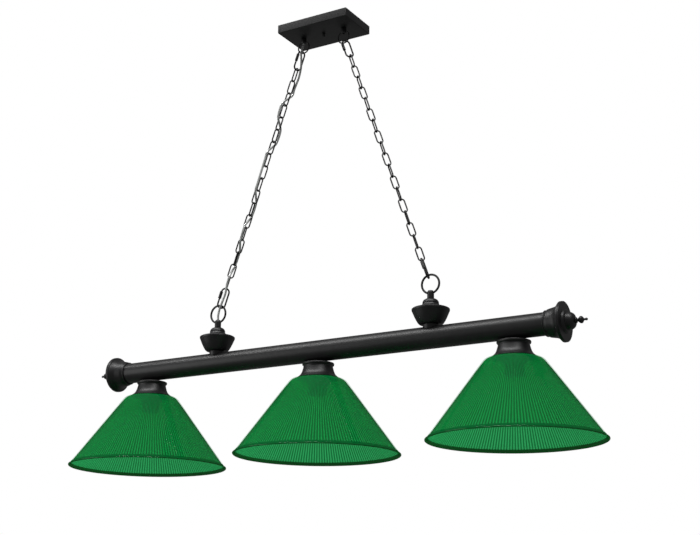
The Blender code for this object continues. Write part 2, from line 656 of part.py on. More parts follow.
def main():
    clear_scene()
    make_canopy()
    make_ceiling_strap()
    make_canopy_screw()
    lines = {side: ChainLine(side) for side in SIDES}
    for side, line in lines.items():
        make_canopy_loop(side)
        top = pivot(f"side_swing_{side}", line.at(LOOP_RING_RADIUS))
        make_quick_link(line, "top", top)
        chain = pivot(f"long_swing_{side}", line.at(line.first + line.quick_reach))
        make_chain(line, chain)
        make_quick_link(line, "bottom", chain)
        if side == "left":
            make_supply_cord(line, chain)
    left = lines["left"]
    bar = pivot("bar_pivot", left.at(left.length - HANGER_RING_RADIUS))
    make_bar_tube(bar)
    make_bar_wiring(bar)
    for side in SIDES:
        make_hanger(side, bar)
        make_end(side, bar)
    for which in SHADE_PLACES:
        make_shade_set(which, bar)


main()
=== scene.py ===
"""The looks of a three-shade pool table lamp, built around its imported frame.

Metres, +Z up. The origin is on the ceiling, +X runs along the bar and +Y across it. Turned pieces are
outlines of (radius, height) corners about their own axis, whose places come from the frame's nodes.
"""

import json
from math import ceil, cos, pi, radians, sin

import bmesh
import bpy
from mathutils import Matrix, Vector

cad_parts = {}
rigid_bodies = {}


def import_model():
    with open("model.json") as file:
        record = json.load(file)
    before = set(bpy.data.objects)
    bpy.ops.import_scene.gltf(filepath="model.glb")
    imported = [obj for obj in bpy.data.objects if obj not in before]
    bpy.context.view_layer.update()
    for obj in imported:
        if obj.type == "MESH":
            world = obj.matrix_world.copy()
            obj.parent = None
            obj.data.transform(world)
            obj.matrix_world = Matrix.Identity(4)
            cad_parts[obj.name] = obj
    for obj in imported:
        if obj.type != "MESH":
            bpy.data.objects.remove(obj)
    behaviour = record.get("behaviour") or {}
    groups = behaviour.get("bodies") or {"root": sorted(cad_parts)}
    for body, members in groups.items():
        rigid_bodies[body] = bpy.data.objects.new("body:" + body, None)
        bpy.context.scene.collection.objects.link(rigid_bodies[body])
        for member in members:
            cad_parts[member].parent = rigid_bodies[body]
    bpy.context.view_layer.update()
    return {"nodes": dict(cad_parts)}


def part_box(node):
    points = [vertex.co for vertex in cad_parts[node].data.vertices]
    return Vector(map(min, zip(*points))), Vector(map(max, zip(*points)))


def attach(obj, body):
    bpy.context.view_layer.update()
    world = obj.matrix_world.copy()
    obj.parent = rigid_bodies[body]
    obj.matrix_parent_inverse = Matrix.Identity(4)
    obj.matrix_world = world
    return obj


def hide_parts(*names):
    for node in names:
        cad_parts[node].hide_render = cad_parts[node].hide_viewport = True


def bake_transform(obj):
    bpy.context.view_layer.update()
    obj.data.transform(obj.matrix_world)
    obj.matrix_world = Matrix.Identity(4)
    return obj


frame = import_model()


def middle_of(node):
    low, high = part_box(node)
    return (low + high) / 2


SIDES = {"left": -1, "right": 1}
PLACES = ("left", "middle", "right")
BAR = middle_of("bar_tube")
HANGERS = {side: Vector((middle_of(f"hanger_cap_{side}").x, 0, BAR.z)) for side in SIDES}
SETS = {place: Vector((middle_of(f"shade_{place}").x, 0, BAR.z)) for place in PLACES}
BAR_HALF = 0.5625
END_FACES = {side: Vector((sign * BAR_HALF, 0, BAR.z)) for side, sign in SIDES.items()}

# Camera, from the middle of the bar.
CAMERA_OFFSET = Vector((1.4208, -2.2699, -0.5885))
CAMERA_YAW = 30.63
CAMERA_PITCH = 16.17
CAMERA_ROLL = 0.54
CAMERA_LENS = 65.39
SENSOR_WIDTH = 36.0

# Room light. Clear pieces show a white backdrop instead, fixed in the room and fading between two angles.
ROOM_LIGHT = 0.15
BACKDROP_CORE = 18.0
BACKDROP_EDGE = 55.0
BACKDROP_DIM = 0.10

# Each light's place from the middle of the bar, its two sizes and its power. The key lights only the
# shades, and the overhead light only the other pieces.
LIGHTS = {
    "key": ((0.6, -2.4, 2.2), (4.0, 0.4), 135),
    "fill": ((-2.5, -2.0, 0.2), (2.0, 2.0), 20),
    "overhead": ((0.0, -1.0, 2.4), (5.0, 0.5), 85),
}
FLOOR_SIZE = 30
FLOOR_HEIGHT = -2.1
FLOOR_LIGHT_HEIGHT = 5.0
FLOOR_LIGHT_SIZE = (12.0, 12.0)
FLOOR_LIGHT_POWER = 430

# Sizes, most of them shared with the frame's solids.
SHADE_RADIUS = 0.1778
SHADE_TOP = -0.0603
SHADE_RIM = -0.2245
SHADE_WALL = 0.0025
SHADE_HOLE = 0.0205
SHADE_RIBS = 180
RIB_DEPTH = 0.0010
SHADE_BAND = 0.0066
LOOP_RING_RADIUS = 0.0144
LOOP_WIRE = 0.0016
HANGER_RING_RADIUS = 0.02005
HANGER_WIRE = 0.0023
HANGER_RING_HEIGHT = 0.1137
THREAD_RADIUS = 0.0049
THREAD_PITCH = 0.0010
WIRE_WAY = 0.0030
STEM_HOLE = 0.0052
LINKS_PER_CHAIN = 18
LINKS_PER_NODE = 3
LINK_WIDTH = 0.0160
LINK_WIRE = 0.0016
LINK_BITE = 0.0008
QUICK_LENGTH = 0.0500
QUICK_WIDTH = 0.0210
QUICK_WIRE = 0.0019
RING_GAP = 0.0008
GAP = 0.0003
OPEN_PIVOT_SLACK = 0.0005
SLEEVE_LENGTH = 0.0170
SLEEVE_OFFSET = 0.0055
SLEEVE_RADIUS = 0.0036
GATE_OFFSET = 0.0075
GATE_WIDTH = 0.0040
CHAIN_TURN = {"left": (67.0, 125.0), "right": (47.0, 32.0)}
BOTTOM_QUICK_TURN = {"left": 50.0, "right": 99.0}
CORD_RADIUS = 0.0025


# Mesh tools.


def new_object(name, bm, place=(0, 0, 0), sharp=35):
    """A smooth-shaded object from bm, with its faces pointing out."""
    bmesh.ops.recalc_face_normals(bm, faces=bm.faces)
    if bm.calc_volume(signed=True) < 0:
        bmesh.ops.reverse_faces(bm, faces=bm.faces)
    mesh = bpy.data.meshes.new(name)
    bm.to_mesh(mesh)
    bm.free()
    mesh.shade_smooth()
    mesh.set_sharp_from_angle(angle=radians(sharp))
    obj = bpy.data.objects.new(name, mesh)
    bpy.context.scene.collection.objects.link(obj)
    obj.location = place
    return obj


def outline(corners, steps=5):
    """Points (r, z) along corners (r, z) or (r, z, cut).

    A cut rounds the corner from that far along each side.
    """
    points = []
    for index, corner in enumerate(corners):
        here = Vector(corner[:2])
        cut = corner[2] if len(corner) > 2 else 0.0
        if not cut or index in (0, len(corners) - 1):
            points.append(here)
            continue
        before = Vector(corners[index - 1][:2]) - here
        after = Vector(corners[index + 1][:2]) - here
        start = here + before.normalized() * min(cut, before.length * 0.48)
        end = here + after.normalized() * min(cut, after.length * 0.48)
        for i in range(steps + 1):
            t = i / steps
            points.append(start * (1 - t) ** 2 + here * 2 * t * (1 - t) + end * t**2)
    return points


def lathe(corners, segments=96, relief=None):
    """A body turned about Z, solid if it starts and ends at r = 0. relief(r, z, turn) returns a new r."""
    bm = bmesh.new()
    rings = []
    for r, z in outline(corners):
        turns = [2 * pi * i / segments for i in range(1 if r < 1e-6 else segments)]
        ring = []
        for turn in turns:
            radius = relief(r, z, turn) if relief else r
            ring.append(bm.verts.new((radius * cos(turn), radius * sin(turn), z)))
        rings.append(ring)
    pairs = list(zip(rings, rings[1:]))
    if len(rings[0]) > 1 or len(rings[-1]) > 1:
        pairs.append((rings[-1], rings[0]))
    for low, high in pairs:
        for i in range(segments):
            j = (i + 1) % segments
            corners = [low[i % len(low)], low[j % len(low)], high[j % len(high)], high[i % len(high)]]
            bm.faces.new(list(dict.fromkeys(corners)))
    return bm


def tube(path, radius, sides=12, closed=False, normal=None, shape=None):
    """A round bar along a path. normal fixes a flat path's frame. shape(index, turn) scales the radius."""
    bm = bmesh.new()
    rings = []
    count = len(path)
    side = normal
    for i, point in enumerate(path):
        if closed:
            ahead = path[(i + 1) % count] - path[i - 1]
        else:
            ahead = path[min(i + 1, count - 1)] - path[max(i - 1, 0)]
        ahead.normalize()
        if side is None:
            side = ahead.orthogonal().normalized()
        if normal is None:
            side = (side - ahead * side.dot(ahead)).normalized()
        across = ahead.cross(side)
        ring = []
        for s in range(sides):
            turn = 2 * pi * (s + 0.5) / sides
            reach = radius * (shape(i, turn) if shape else 1.0)
            ring.append(bm.verts.new(point + reach * (cos(turn) * across + sin(turn) * side)))
        rings.append(ring)
    pairs = list(zip(rings, rings[1:]))
    if closed:
        pairs.append((rings[-1], rings[0]))
    else:
        bm.faces.new(rings[0])
        bm.faces.new(rings[-1])
    for one, two in pairs:
        for s in range(sides):
            t = (s + 1) % sides
            bm.faces.new((one[s], one[t], two[t], two[s]))
    return bm


def joined(bodies):
    """One bmesh that holds several closed bodies."""
    whole = bodies[0]
    for body in bodies[1:]:
        mesh = bpy.data.meshes.new("body")
        body.to_mesh(mesh)
        body.free()
        whole.from_mesh(mesh)
        bpy.data.meshes.remove(mesh)
    return whole


def combine(obj, bm, operation, place=(0, 0, 0)):
    """Applies a Boolean with bm to obj."""
    other = new_object(f"{obj.name}_tool", bm, place)
    modifier = obj.modifiers.new("combine", "BOOLEAN")
    modifier.object = other
    modifier.operation = operation
    modifier.solver = "EXACT"
    with bpy.context.temp_override(object=obj, active_object=obj, selected_objects=[obj]):
        bpy.ops.object.modifier_apply(modifier=modifier.name)
    bpy.data.objects.remove(other)
    obj.data.set_sharp_from_angle(angle=radians(35))


def hexagon(radius, low, high, chamfer):
    """A hexagonal prism whose six corners are chamfered at both ends."""
    bm = bmesh.new()
    rings = []
    lower = ((radius - chamfer, low), (radius, low + chamfer))
    upper = ((radius, high - chamfer), (radius - chamfer, high))
    for r, z in lower + upper:
        rings.append([bm.verts.new((r * cos(pi * i / 3), r * sin(pi * i / 3), z)) for i in range(6)])
    bm.faces.new(rings[0])
    bm.faces.new(rings[-1])
    for one, two in zip(rings, rings[1:]):
        for i in range(6):
            j = (i + 1) % 6
            bm.faces.new((one[i], one[j], two[j], two[i]))
    return bm


def along_x(bm, side):
    """Turns a body made about Z so that +Z points to the bar's end on this side."""
    bm.transform(Matrix.Rotation(side * pi / 2, 4, "Y"))
    return bm


def drilled(r, z, low, high, step):
    """Corners down a threaded wall, close enough together to carry the thread."""
    count = ceil(abs(high - low) / step)
    return [(r, low + (high - low) * i / count) for i in range(count + 1)]


def thread(depth, pitch, low, high, outer):
    """Relief of a helical thread between two heights, on the wall of this radius."""

    def relief(r, z, turn):
        if low < z < high and abs(r - outer) < 1e-5:
            return r - depth * (0.5 - 0.5 * cos(2 * pi * z / pitch - turn))
        return r

    return relief


# Materials.


class Finish:
    """A procedural Principled material whose patterns are laid out in the object's own metres."""

    def __init__(self, name, roughness, metallic=0.0):
        self.material = bpy.data.materials.new(name)
        self.material.use_nodes = True
        self.tree = self.material.node_tree
        self.shader = self.tree.nodes["Principled BSDF"]
        self.shader.inputs["Roughness"].default_value = roughness
        self.shader.inputs["Metallic"].default_value = metallic
        self.coords = self.tree.nodes.new("ShaderNodeTexCoord").outputs["Object"]

    def set(self, **values):
        for name, value in values.items():
            self.shader.inputs[name.replace("_", " ")].default_value = value
        return self

    def noise(self, scale, detail=2.0, stretch=None):
        texture = self.tree.nodes.new("ShaderNodeTexNoise")
        texture.inputs["Scale"].default_value = scale
        texture.inputs["Detail"].default_value = detail
        source = self.coords
        if stretch:
            mapping = self.tree.nodes.new("ShaderNodeMapping")
            mapping.inputs["Scale"].default_value = stretch
            self.tree.links.new(source, mapping.inputs["Vector"])
            source = mapping.outputs["Vector"]
        self.tree.links.new(source, texture.inputs["Vector"])
        return texture.outputs["Fac"]

    def ramp(self, source, socket, low, high, start=0.35, end=0.65):
        """Runs a colour or value from low to high as source goes from start to end."""
        if isinstance(low, tuple):
            node = self.tree.nodes.new("ShaderNodeValToRGB")
            node.color_ramp.elements[0].position = start
            node.color_ramp.elements[1].position = end
            node.color_ramp.elements[0].color = (*low, 1.0)
            node.color_ramp.elements[1].color = (*high, 1.0)
            self.tree.links.new(source, node.inputs["Fac"])
            output = node.outputs["Color"]
        else:
            node = self.tree.nodes.new("ShaderNodeMapRange")
            node.inputs["From Min"].default_value = start
            node.inputs["From Max"].default_value = end
            node.inputs["To Min"].default_value = low
            node.inputs["To Max"].default_value = high
            self.tree.links.new(source, node.inputs["Value"])
            output = node.outputs["Result"]
        self.tree.links.new(output, self.shader.inputs[socket])
        return self

    def bump(self, source, depth):
        node = self.tree.nodes.new("ShaderNodeBump")
        node.inputs["Distance"].default_value = depth
        node.inputs["Strength"].default_value = 1.0
        self.tree.links.new(source, node.inputs["Height"])
        self.tree.links.new(node.outputs["Normal"], self.shader.inputs["Normal"])
        return self


def powder_coat():
    """Satin black powder coat: a fine orange peel and a slightly uneven sheen."""
    coat = Finish("powder_coat", 0.42)
    coat.ramp(coat.noise(60.0, 3.0), "Base Color", (0.006, 0.006, 0.0065), (0.010, 0.010, 0.0105))
    coat.ramp(coat.noise(900.0, 2.0), "Roughness", 0.36, 0.48)
    coat.bump(coat.noise(1500.0, 1.0), 0.00006)
    return coat.set(Specular_IOR_Level=0.55).material


def chain_enamel():
    """Dipped black enamel over steel wire, a little glossier than the bar."""
    enamel = Finish("chain_enamel", 0.34)
    enamel.ramp(enamel.noise(220.0, 3.0), "Base Color", (0.004, 0.004, 0.0045), (0.008, 0.008, 0.0085))
    enamel.ramp(enamel.noise(700.0, 2.0), "Roughness", 0.28, 0.44)
    enamel.bump(enamel.noise(900.0, 2.0), 0.00008)
    return enamel.material


def zinc_plate():
    zinc = Finish("zinc_plate", 0.32, 1.0)
    zinc.ramp(zinc.noise(90.0, 4.0), "Base Color", (0.46, 0.47, 0.49), (0.62, 0.62, 0.62))
    zinc.ramp(zinc.noise(260.0, 3.0, (1.0, 9.0, 9.0)), "Roughness", 0.24, 0.44)
    zinc.bump(zinc.noise(1100.0, 2.0, (1.0, 7.0, 7.0)), 0.00003)
    return zinc.material


def phenolic():
    """Dark brown moulded socket plastic with a faint mottle."""
    plastic = Finish("phenolic", 0.38)
    plastic.ramp(plastic.noise(240.0, 4.0), "Base Color", (0.040, 0.022, 0.014), (0.085, 0.048, 0.030))
    plastic.ramp(plastic.noise(500.0, 2.0), "Roughness", 0.30, 0.50)
    plastic.bump(plastic.noise(800.0, 2.0), 0.00005)
    return plastic.material


def clear_cord():
    """Clear sheath over bright strands, which show as streaks along the twist."""
    cord = Finish("clear_cord", 0.16)
    strands = cord.noise(900.0, 3.0, (1.0, 1.0, 0.25))
    cord.ramp(strands, "Base Color", (0.36, 0.37, 0.37), (0.80, 0.81, 0.79))
    cord.bump(cord.noise(1400.0, 2.0, (1.0, 1.0, 0.3)), 0.00010)
    return cord.set(Transmission_Weight=0.25, Coat_Weight=0.6, Coat_Roughness=0.06).material


# The share of light that acrylic reflects face on, and how much more it reflects at a glancing angle.
FACING_GLOSS = 0.040
GRAZING_GLOSS = 0.06


class Acrylic:
    """Green acrylic: a see-through tint, a scattering body and a gloss, laid out in the shade's metres."""

    def __init__(self, name):
        self.material = bpy.data.materials.new(name)
        self.material.use_nodes = True
        self.tree = self.material.node_tree
        self.tree.nodes.remove(self.tree.nodes["Principled BSDF"])

    def node(self, kind, *sources, **settings):
        node = self.tree.nodes.new(f"ShaderNode{kind}")
        for name, value in settings.items():
            if hasattr(node, name):
                setattr(node, name, value)
            else:
                node.inputs[name].default_value = value
        for index, source in enumerate(sources):
            if source is not None:
                self.tree.links.new(source, node.inputs[index])
        return node

    def math(self, operation, first, second):
        node = self.node("Math", first, operation=operation)
        if isinstance(second, float):
            node.inputs[1].default_value = second
        else:
            self.tree.links.new(second, node.inputs[1])
        return node.outputs[0]

    def ribs(self):
        """1 in each groove and 0 on each crest of the inner wall's ribs, where the ribbed wall paints its
        stripes of light and shade.
        """
        coords = self.node("SeparateXYZ", self.node("TexCoord").outputs["Object"])
        turn = self.math("ARCTAN2", coords.outputs["Y"], coords.outputs["X"])
        wave = self.math("COSINE", self.math("MULTIPLY", turn, float(SHADE_RIBS)), 0.0)
        return self.math("ADD", self.math("MULTIPLY", wave, 0.5), 0.5)

    def colours(self, source, low, high):
        ramp = self.node("ValToRGB", source)
        ramp.color_ramp.elements[0].color = (*low, 1.0)
        ramp.color_ramp.elements[1].color = (*high, 1.0)
        return ramp.outputs["Color"]

    def finish(self, body, tint, clarity, gloss):
        """clarity is the see-through share, and gloss the roughness of the surface's own reflection."""
        scatter = self.node("MixShader", None, None, None, Fac=0.6)
        for index, kind in ((1, "BsdfDiffuse"), (2, "BsdfTranslucent")):
            self.tree.links.new(self.node(kind, body).outputs[0], scatter.inputs[index])
        clear = self.node("BsdfTransparent", tint)
        inside = self.node("MixShader", None, scatter.outputs[0], clear.outputs[0])
        inside.inputs["Fac"].default_value = clarity
        shine = self.node("BsdfGlossy", Roughness=gloss)
        facing = self.math("POWER", self.node("LayerWeight").outputs["Facing"], 4.0)
        edge = self.math("ADD", self.math("MULTIPLY", facing, GRAZING_GLOSS), FACING_GLOSS)
        surface = self.node("MixShader", edge, inside.outputs[0], shine.outputs[0])
        self.tree.links.new(surface.outputs[0], self.tree.nodes["Material Output"].inputs["Surface"])
        return self.material


def ribbed_acrylic():
    wall = Acrylic("ribbed_acrylic")
    ribs = wall.ribs()
    # Painted light and shade: the grooves are painted a lighter green and the crests a darker one, standing
    # in for the bright and dark stripes that the ribs' refraction makes.
    body = wall.colours(ribs, (0.014, 0.68, 0.185), (0.001, 0.22, 0.050))
    tint = wall.colours(ribs, (0.060, 0.58, 0.190), (0.002, 0.20, 0.050))
    return wall.finish(body, tint, 0.50, 0.07)


def smooth_acrylic():
    """The outer face: nearly clear, with a faint body, so that the ribbed wall behind it shows."""
    skin = Acrylic("smooth_acrylic")
    noise = skin.node("TexNoise", Scale=18.0)
    tint = skin.colours(noise.outputs[0], (0.86, 0.97, 0.90), (0.92, 0.99, 0.94))
    body = skin.colours(noise.outputs[0], (0.008, 0.30, 0.080), (0.012, 0.34, 0.095))
    return skin.finish(body, tint, 0.90, 0.06)


def rim_acrylic():
    """The solid bead at the rim, seen through its whole thickness."""
    bead = Acrylic("rim_acrylic")
    noise = bead.node("TexNoise", Scale=60.0)
    body = bead.colours(noise.outputs[0], (0.001, 0.26, 0.065), (0.002, 0.32, 0.080))
    tint = bead.colours(noise.outputs[0], (0.004, 0.24, 0.060), (0.006, 0.28, 0.070))
    return bead.finish(body, tint, 0.35, 0.08)


def pale_floor():
    floor = Finish("pale_floor", 0.7)
    floor.ramp(floor.noise(3.0, 3.0), "Base Color", (0.80, 0.80, 0.80), (0.84, 0.84, 0.84))
    return floor.material


FINISHES = {
    "black_metal": powder_coat(),
    "zinc_steel": zinc_plate(),
    "chain_black": chain_enamel(),
    "green_acrylic": ribbed_acrylic(),
    "socket_plastic": phenolic(),
    "clear_cord": clear_cord(),
}
SHADE_SKIN = smooth_acrylic()
SHADE_RIM_BEAD = rim_acrylic()


def place_piece(obj, body, slot, *nodes):
    """Gives a new piece its finish and body, and hides the nodes that it stands for."""
    obj.data.materials.clear()
    obj.data.materials.append(FINISHES[slot])
    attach(obj, body)
    if nodes:
        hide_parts(*nodes)
    return obj


# Canopy and loops.


def ring_piece(name, centre, ring_radius, wire, stem, relief, body, node):
    """A wire ring joined to a hollow turned stem, whose corners are heights from the ring's centre."""
    turns = [2 * pi * i / 96 for i in range(96)]
    path = [Vector((ring_radius * cos(a), 0, ring_radius * sin(a))) for a in turns]
    ring = new_object(name, tube(path, wire, 16, True, Vector((0, 1, 0))), centre)
    combine(ring, lathe(stem, 48, relief), "UNION", centre)
    place_piece(ring, body, "black_metal", node)


def make_canopy():
    low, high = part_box("canopy_shell")
    wall = 0.0012
    bm = bmesh.new()
    bmesh.ops.create_cube(bm, size=1.0)
    size = high - low
    bm.transform(Matrix.Translation((low + high) / 2) @ Matrix.Diagonal((*size, 1)))
    top = [f for f in bm.faces if f.calc_center_median().z > high.z - wall]
    edges = [e for e in bm.edges if not any(f in top for f in e.link_faces)]
    bmesh.ops.delete(bm, geom=top, context="FACES_ONLY")
    bmesh.ops.bevel(bm, geom=edges, offset=0.0024, segments=6, profile=0.5, affect="EDGES")
    canopy = new_object("canopy", bm)
    solidify = canopy.modifiers.new("wall", "SOLIDIFY")
    solidify.thickness = wall
    solidify.offset = -1
    with bpy.context.temp_override(object=canopy, active_object=canopy, selected_objects=[canopy]):
        bpy.ops.object.modifier_apply(modifier=solidify.name)
    loop_x = middle_of("canopy_loop_right").x
    for x, radius in ((-loop_x, STEM_HOLE), (0.0, 0.0023), (loop_x, STEM_HOLE)):
        hole = [(0, low.z - 0.005), (radius, low.z - 0.005), (radius, low.z + 0.005), (0, low.z + 0.005)]
        combine(canopy, lathe(hole, 32), "DIFFERENCE", (x, 0, 0))
    place_piece(canopy, "ceiling", "black_metal", "canopy_shell")


def make_canopy_screw():
    """A thumb screw with a knurled head."""
    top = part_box("canopy_screw")[1].z
    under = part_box("canopy_shell")[0].z - GAP
    head = under - 0.0075
    shank = 0.0020
    corners = [(0, top), (shank - 0.0005, top), (shank, top - 0.0005)]
    corners += drilled(shank, 0, top - 0.0010, under + 0.0003, 0.00025)
    corners += [(shank, under), (0.0040, under, 0.0002), (0.0040, under - 0.0012, 0.0003)]
    corners += [(0.0028, under - 0.0018, 0.0003), (0.0028, under - 0.0030, 0.0003)]
    corners += [(0.0036, under - 0.0036, 0.0003), (0.0036, under - 0.0064, 0.0006), (0.0026, head, 0.0006)]
    corners += [(0, head)]
    helix = thread(0.0003, 0.0008, under, top - 0.0010, shank)

    def relief(r, z, turn):
        if abs(r - 0.0036) < 0.0003 and under - 0.0062 < z < under - 0.0038:
            return r - 0.00025 * (0.5 + 0.5 * cos(20 * turn))
        return helix(r, z, turn)

    screw = new_object("canopy_thumb_screw", lathe(corners, 80, relief))
    place_piece(screw, "ceiling", "black_metal", "canopy_screw")


def make_canopy_loop(side):
    low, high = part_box(f"canopy_loop_{side}")
    centre = Vector(((low.x + high.x) / 2, 0, low.z + LOOP_RING_RADIUS + LOOP_WIRE))
    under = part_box("canopy_shell")[0].z - GAP - centre.z
    top = high.z - centre.z
    collar = LOOP_RING_RADIUS - 0.0050
    stem = [(WIRE_WAY, collar), (0.0046, collar, 0.0004), (0.0062, collar + 0.0020, 0.0008)]
    stem += [(0.0062, under - 0.0012, 0.0005), (0.0056, under), (THREAD_RADIUS, under)]
    stem += drilled(THREAD_RADIUS, 0, under + 0.0004, top - 0.0006, THREAD_PITCH / 4)
    stem += [(THREAD_RADIUS - 0.0006, top), (WIRE_WAY, top)]
    helix = thread(0.0005, THREAD_PITCH, under + 0.0004, top - 0.0006, THREAD_RADIUS)
    name, node = f"canopy_ring_{side}", f"canopy_loop_{side}"
    ring_piece(name, centre, LOOP_RING_RADIUS, LOOP_WIRE, stem, helix, "ceiling", node)


# Chains.


class ChainLine:
    """Places along one chain, measured from the canopy ring's centre towards the hanger ring's."""

    def __init__(self, side):
        self.side = side
        low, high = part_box(f"canopy_loop_{side}")
        self.top = Vector(((low.x + high.x) / 2, 0, low.z + LOOP_RING_RADIUS + LOOP_WIRE))
        self.bottom = HANGERS[side] + Vector((0, 0, HANGER_RING_HEIGHT))
        self.length = (self.bottom - self.top).length
        self.down = (self.bottom - self.top) / self.length
        slack = OPEN_PIVOT_SLACK if side == "right" else 0.0
        self.quick_reach = QUICK_LENGTH - 2 * QUICK_WIRE
        self.first = LOOP_RING_RADIUS - LOOP_WIRE - QUICK_WIRE - RING_GAP
        end_contact = QUICK_WIRE + LINK_WIRE + RING_GAP
        self.last = self.length - HANGER_RING_RADIUS + HANGER_WIRE + QUICK_WIRE + RING_GAP + slack
        start = self.first + self.quick_reach - end_contact
        end = self.last - self.quick_reach + end_contact
        loose = 2 * LINK_WIRE + GAP
        resting = 2 * LINK_WIRE - LINK_BITE
        contacts = [resting if (k + 1) % LINKS_PER_NODE else loose for k in range(LINKS_PER_CHAIN - 1)]
        self.link_reach = (end - start + sum(contacts)) / LINKS_PER_CHAIN
        self.link_centres = []
        for contact in [*contacts, 0]:
            self.link_centres.append(start + self.link_reach / 2)
            start += self.link_reach - contact

    def at(self, distance):
        return self.top + distance * self.down

    def lean(self):
        return Vector((0, 0, -1)).rotation_difference(self.down).to_matrix()

    def frame(self, place):
        """Axes at this place (0 = top quick link): X across the link's width, Z up the line."""
        top, bottom = CHAIN_TURN[self.side]
        angle = top + (bottom - top) * place / LINKS_PER_CHAIN
        return self.lean() @ Matrix.Rotation(radians(angle), 3, "Z")

    def turn(self, place):
        """Each link is a quarter turn from the one before."""
        if place > LINKS_PER_CHAIN:
            angle = radians(BOTTOM_QUICK_TURN[self.side])
            return (self.lean() @ Matrix.Rotation(angle, 3, "Z")).to_4x4()
        quarter = 90 if place % 2 else 0
        return (self.frame(place) @ Matrix.Rotation(radians(quarter), 3, "Z")).to_4x4()

    def put(self, bm, distance, place):
        bm.transform(Matrix.Translation(self.at(distance)) @ self.turn(place))
        return bm


def oval(length, width, wire, arc_steps=12, leg_steps=8):
    """The centre line of an oval link in the XZ plane, long side upright, from its +X side."""
    bend = width / 2 - wire
    straight = length / 2 - width / 2
    points = []
    for end, start in ((1, 0), (-1, 180)):
        for i in range(arc_steps + 1):
            a = radians(start + 180 * i / arc_steps)
            points.append(Vector((bend * cos(a), 0, end * straight + bend * sin(a))))
        for i in range(1, leg_steps):
            z = end * straight * (1 - 2 * i / leg_steps)
            points.append(Vector((-end * bend, 0, z)))
    return points


def make_links(line):
    """Oval links of round wire, each with a low weld bead half way down one leg."""
    path = oval(line.link_reach + 2 * LINK_WIRE, LINK_WIDTH, LINK_WIRE)
    weld = min(range(len(path)), key=lambda i: (path[i] - Vector((-LINK_WIDTH, 0, 0))).length)

    def shape(index, turn):
        return 1.0 + (0.09 if index == weld else 0.03 if abs(index - weld) == 1 else 0.0)

    links = []
    for k, centre in enumerate(line.link_centres):
        bm = tube(path, LINK_WIRE, 12, True, Vector((0, 1, 0)), shape)
        links.append(line.put(bm, centre, k + 1))
    for start in range(0, LINKS_PER_CHAIN, LINKS_PER_NODE):
        number = start // LINKS_PER_NODE + 1
        group = new_object(f"links_{line.side}_{number}", joined(links[start : start + LINKS_PER_NODE]))
        place_piece(group, f"{line.side}_chain", "chain_black", f"chain_{line.side}_{number}")


def make_quick_link(line, which, body):
    """A bent rod with a gate and its chamfered hexagonal sleeve, both left plain where the real ones are
    threaded.
    """
    place = 0 if which == "top" else LINKS_PER_CHAIN + 1
    half = line.quick_reach / 2
    centre = line.first + half if which == "top" else line.last - half
    leg = QUICK_WIDTH / 2 - QUICK_WIRE
    loop = oval(QUICK_LENGTH, QUICK_WIDTH, QUICK_WIRE)
    gate_low = GATE_OFFSET - GATE_WIDTH / 2
    gate_high = GATE_OFFSET + GATE_WIDTH / 2
    gated_leg = [p for p in loop if p.x < -leg + 1e-6]
    rest = [p for p in loop if p.x >= -leg + 1e-6]
    turn = rest.index(min(rest, key=lambda p: (p.x, p.z)))
    low_part = sorted((p for p in gated_leg if p.z < gate_low), key=lambda p: -p.z)
    high_part = sorted((p for p in gated_leg if p.z > gate_high), key=lambda p: -p.z)
    around = rest[turn:] + rest[:turn]
    path = [Vector((-leg, 0, gate_low))] + low_part + around + high_part + [Vector((-leg, 0, gate_high))]
    rod = line.put(tube(path, QUICK_WIRE, 14, False, Vector((0, 1, 0))), centre, place)
    name = f"{which}_{line.side}"
    obj = new_object(f"quick_rod_{name}", rod)
    place_piece(obj, body, "chain_black", f"quick_link_{name}")
    low = SLEEVE_OFFSET - SLEEVE_LENGTH / 2
    nut = hexagon(SLEEVE_RADIUS, low, low + SLEEVE_LENGTH, 0.0005)
    nut.transform(Matrix.Translation((-leg, 0, 0)))
    sleeve = new_object(f"quick_sleeve_{name}", line.put(nut, centre, place), (0, 0, 0), 25)
    bore_radius = QUICK_WIRE + GAP
    under, over = low - 0.01, low + 0.03
    bore = lathe([(0, under), (bore_radius, under), (bore_radius, over), (0, over)], 32)
    bore.transform(Matrix.Translation((-leg, 0, 0)))
    combine(sleeve, line.put(bore, centre, place), "DIFFERENCE")
    place_piece(sleeve, f"sleeve_{name}", "chain_black", f"sleeve_{name}")


# The bar, its hangers and its ends.


def make_bar():
    """The tube, drilled from above for the hangers and from below for the sockets."""
    low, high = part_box("bar_tube")
    radius = (high.z - low.z) / 2
    half = (high.x - low.x) / 2
    inner = radius - 0.0015
    edge = 0.0004
    wall = [(inner, -half), (radius - edge, -half), (radius, edge - half)]
    wall += [(radius, half - edge), (radius - edge, half), (inner, half)]
    bar = new_object("bar", along_x(lathe(wall, 160), 1), BAR)
    for place, sign in [(HANGERS[side], 1) for side in SIDES] + [(SETS[place], -1) for place in PLACES]:
        low, high = sorted((sign * radius / 2, sign * radius * 1.5))
        drill = lathe([(0, low), (STEM_HOLE, low), (STEM_HOLE, high), (0, high)], 32)
        combine(bar, drill, "DIFFERENCE", place)
    place_piece(bar, "bar", "black_metal", "bar_tube")


